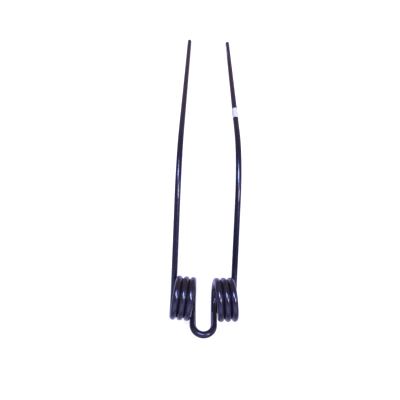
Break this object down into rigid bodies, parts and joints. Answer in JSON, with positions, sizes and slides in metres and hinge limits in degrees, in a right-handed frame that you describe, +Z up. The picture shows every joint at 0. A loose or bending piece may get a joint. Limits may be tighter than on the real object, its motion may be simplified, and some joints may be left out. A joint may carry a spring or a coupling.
{
  "type": "rake tine",
  "caption": "Double spring tine for a hay rake, bent from round steel bar, with a U-shaped mounting loop between coils, long kneed tines and a blank label band.",
  "frame": {"origin": "on the ground, under the middle of the tine's bounding box, in the middle plane between the coils", "axes": "+X along the coils, from the left tine to the right one; +Y from the mounting loop to the tine tips; +Z up, with the tine lying on its coils and tips"},
  "size_m": [0.0928, 0.6122, 0.0891],
  "materials": {
    "black_paint": "gloss black paint with a violet-blue tint on spring steel",
    "white_label": "plain matt white label, bare"
  },
  "bodies": {
    "root": {"spring_wire": "black_paint", "label_band": "white_label"}
  },
  "joints": []
}
